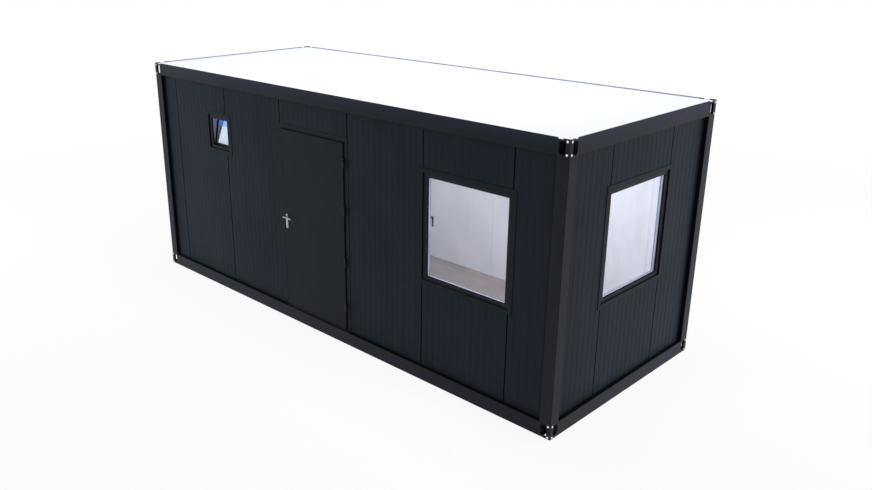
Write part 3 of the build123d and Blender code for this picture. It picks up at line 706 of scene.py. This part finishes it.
# Glazing of the large windows: outer and inner gaskets and the spacer between the panes
FRAMES_LOW, FRAMES_HIGH = (np.array(corner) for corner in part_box("window_frames"))
REVEAL = 0.012
STILE = 0.045
HEAD = 0.042
SILL = 0.034
WIN_BOTTOM = float(FRAMES_LOW[2]) + REVEAL + SILL
WIN_TOP = float(FRAMES_HIGH[2]) - REVEAL - HEAD
END_HALF = float(FRAMES_HIGH[1]) - REVEAL - STILE
FRONT_LEFT = float(FRAMES_LOW[0]) + REVEAL + STILE
GLAZED = [
    ("front", FRONT_LEFT, FRONT_LEFT + 2 * END_HALF, WIN_BOTTOM, WIN_TOP),
    ("right", -END_HALF, END_HALF, WIN_BOTTOM, WIN_TOP),
]
GLASS_FRONT = 0.066
GLASS_BACK = 0.086
PANE_T = 0.004
SPACER_PLAY = 0.0002
SPACER_FRONT = GLASS_FRONT + PANE_T + SPACER_PLAY
SPACER_BACK = GLASS_BACK - PANE_T - SPACER_PLAY
SPACER = [
    (-0.009, SPACER_FRONT), (0.006, SPACER_FRONT), (0.007, SPACER_FRONT + 0.002),
    (0.007, SPACER_BACK - 0.002), (0.006, SPACER_BACK), (-0.009, SPACER_BACK),
]
GASKET_R = 0.0032
GASKET_INSET = 0.001
GASKET_OFF = 0.0012
run_round(
    "outer_gaskets", GLAZED, round_bar(GASKET_INSET, GLASS_FRONT - GASKET_OFF, GASKET_R),
    seal_rubber(), smooth=True,
)
run_round(
    "inner_gaskets", GLAZED, round_bar(GASKET_INSET, GLASS_BACK + GASKET_OFF, GASKET_R),
    spacer_metal(), smooth=True,
)
run_round("glazing_spacers", GLAZED, SPACER, spacer_metal())


def straight_bars(name, bars, profile, material):
    """Straight bars on a side, each with its closed section carried from end to end and capped.

    Point = start + s * (end - start) + across * turned + depth, for s = 0 and 1, where turned is
    the bar's run turned a quarter right in the side's plane, as seen from outside.
    """
    across, depth = np.array(profile).T
    count = len(profile)
    points, faces = [], []
    for place, (side, start, end) in enumerate(bars):
        start, end = np.array(start), np.array(end)
        run = (end - start) / np.linalg.norm(end - start)
        turned = np.array((run[1], -run[0]))
        plane = np.stack((start, end))[:, None] + across[None, :, None] * turned
        bar = place_on(side, plane[..., 0], plane[..., 1], np.broadcast_to(depth, (2, count)))
        points.append(bar.reshape(-1, 3))
        first = place * 2 * count
        faces += grid_faces(2, count, first).tolist()
        faces.append(list(range(first, first + count))[::-1])
        faces.append(list(range(first + count, first + 2 * count)))
    make_piece(name, np.concatenate(points), faces, material, smooth=False)


# Door seals: a lip that fills most of the gap at the lock side and the head, and a bulb on the stop
LEAF_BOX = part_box("door_leaf")
LEAF_LEFT, LEAF_RIGHT = float(LEAF_BOX[0][0]), float(LEAF_BOX[1][0])
LEAF_TOP = float(LEAF_BOX[1][2])
THRESHOLD_TOP = float(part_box("door_threshold")[1][2])
LEAF_GAP = 0.006
HINGE_GAP = 0.012
LIP_BREAK = 0.0005
LIP = [
    (0.0, 0.0235), (0.0030, 0.0235), (0.0045, 0.0260), (0.0045, 0.0330), (0.0030, 0.0360),
    (0.0, 0.0360),
]
BULB = [
    (0.002, 0.073), (0.002, 0.0705), (0.0045, 0.0685), (0.0085, 0.0685), (0.011, 0.0705),
    (0.011, 0.073),
]
jamb_left, jamb_right, head = LEAF_LEFT - LEAF_GAP, LEAF_RIGHT + HINGE_GAP, LEAF_TOP + LEAF_GAP
straight_bars(
    "door_lip_seals",
    [
        ("front", (jamb_left, THRESHOLD_TOP), (jamb_left, head - LIP_BREAK)),
        ("front", (jamb_left, head), (jamb_right, head)),
    ],
    LIP, seal_rubber("casing_rubber", rgb(24, 26, 30), rgb(40, 42, 44)),
)
straight_bars(
    "door_stop_seals",
    [
        ("front", (jamb_left, THRESHOLD_TOP), (jamb_left, head)),
        ("front", (jamb_left, head), (jamb_right, head)),
        ("front", (jamb_right, head), (jamb_right, THRESHOLD_TOP)),
    ],
    BULB, seal_rubber(),
)


# Stage: a pale floor that keeps the shadow, and a white background
FLOOR_WHITE = 0.92
FLOOR_REACH = 60.0
FADE_FROM = 5.0
FADE_TO = 11.0


def white_rays(nodes):
    """1 for the rays that show the background: the camera's, and those in gloss and glass."""
    seen = nodes.node("ShaderNodeLightPath", output="Is Camera Ray")
    for output in ("Is Glossy Ray", "Is Transmission Ray"):
        seen = seen.math("MAXIMUM", nodes.node("ShaderNodeLightPath", output=output))
    return seen


def floor_finish():
    """Pale floor with the object's soft shadow near it, fading to pure white further out."""
    paint = Paint("studio_floor", Roughness=0.9, Specular_IOR_Level=0.1)
    paint.shader.inputs["Base Color"].default_value = (0.88, 0.88, 0.88, 1.0)
    x, y, z = paint.axes()
    away = (x * x + y * y).math("SQRT")
    far = paint.band(away, FADE_FROM, FADE_TO)
    share = far * (1.0 - FLOOR_WHITE) + FLOOR_WHITE
    white = paint.node("ShaderNodeEmission", None, {"Color": (1, 1, 1, 1), "Strength": 1.0})
    lit = Value(paint, paint.shader.outputs[0])
    both = paint.node("ShaderNodeMixShader", None, {0: white_rays(paint) * share, 1: lit, 2: white})
    paint.link(both, "Material Output", 0)
    return paint.material


floor_mesh = bpy.data.meshes.new("studio_floor")
floor_corners = FLOOR_REACH * np.array([(-1, -1, 0), (1, -1, 0), (1, 1, 0), (-1, 1, 0)])
floor_mesh.from_pydata(floor_corners.tolist(), [], [(0, 1, 2, 3)])
floor_mesh.materials.append(floor_finish())
floor = bpy.data.objects.new("studio_floor", floor_mesh)
bpy.context.scene.collection.objects.link(floor)


def soft_world(strength, colour):
    """Even pale surroundings, pure white to the camera and in gloss and glass."""
    world = bpy.data.worlds.new("soft_world")
    world.use_nodes = True
    nodes = Nodes(world.node_tree)
    seen = white_rays(nodes)
    nodes.link(nodes.mix(seen, (*colour, 1.0), (1.0, 1.0, 1.0, 1.0)), "Background", "Color")
    nodes.link(seen * (1.0 - strength) + strength, "Background", "Strength")
    bpy.context.scene.world = world


def area_lamp(name, place, target, size, power, colour=(1.0, 1.0, 1.0)):
    """Soft rectangular lamp that faces its target and doesn't show in gloss."""
    lamp = bpy.data.lights.new(name, "AREA")
    lamp.shape = "RECTANGLE"
    lamp.size, lamp.size_y = size
    lamp.energy = power
    lamp.color = colour
    holder = bpy.data.objects.new(name, lamp)
    holder.location = place
    way = Vector(target) - Vector(place)
    holder.rotation_euler = way.to_track_quat("-Z", "Y").to_euler()
    holder.visible_glossy = False
    bpy.context.scene.collection.objects.link(holder)


COOL = (0.94, 0.97, 1.0)
WORLD_STRENGTH = 0.30
soft_world(WORLD_STRENGTH, COOL)
area_lamp("overhead", (0.0, 0.2, 9.0), (0.0, 0.2, 2.6), (7.0, 3.0), 480)
area_lamp("left_fill", (-7.5, -5.5, 1.7), (-2.6, -1.2, 0.9), (3.0, 2.6), 300)
area_lamp("right_fill", (6.4, 6.8, 1.5), (3.0, 1.0, 0.8), (3.5, 2.2), 560)
ROOM_GLOW = (0.97, 0.98, 1.0)
area_lamp(
    "room_light", (0.4, -0.2, CEILING_Z - 0.05), (0.4, -0.1, 0.0), (4.4, 1.2), 44, ROOM_GLOW
)
area_lamp(
    "room_end_light", (2.1, -0.75, CEILING_Z - 0.06), (2.3, 0.4, 0.6), (0.9, 0.5), 37, ROOM_GLOW
)

# Camera
CAMERA_PLACE = (6.4504, -6.5047, 4.0004)
CAMERA_TURN = (radians(70.525), 0.0, radians(45.0))
view = bpy.data.cameras.new("main_view")
view.lens = 34.88
view.sensor_width = 36.0
view.shift_x = 0.0468
view.shift_y = -0.00635
camera = bpy.data.objects.new("main_view", view)
camera.location = CAMERA_PLACE
camera.rotation_euler = CAMERA_TURN
bpy.context.scene.collection.objects.link(camera)
bpy.context.scene.camera = camera
bpy.context.scene.view_settings.view_transform = "Standard"
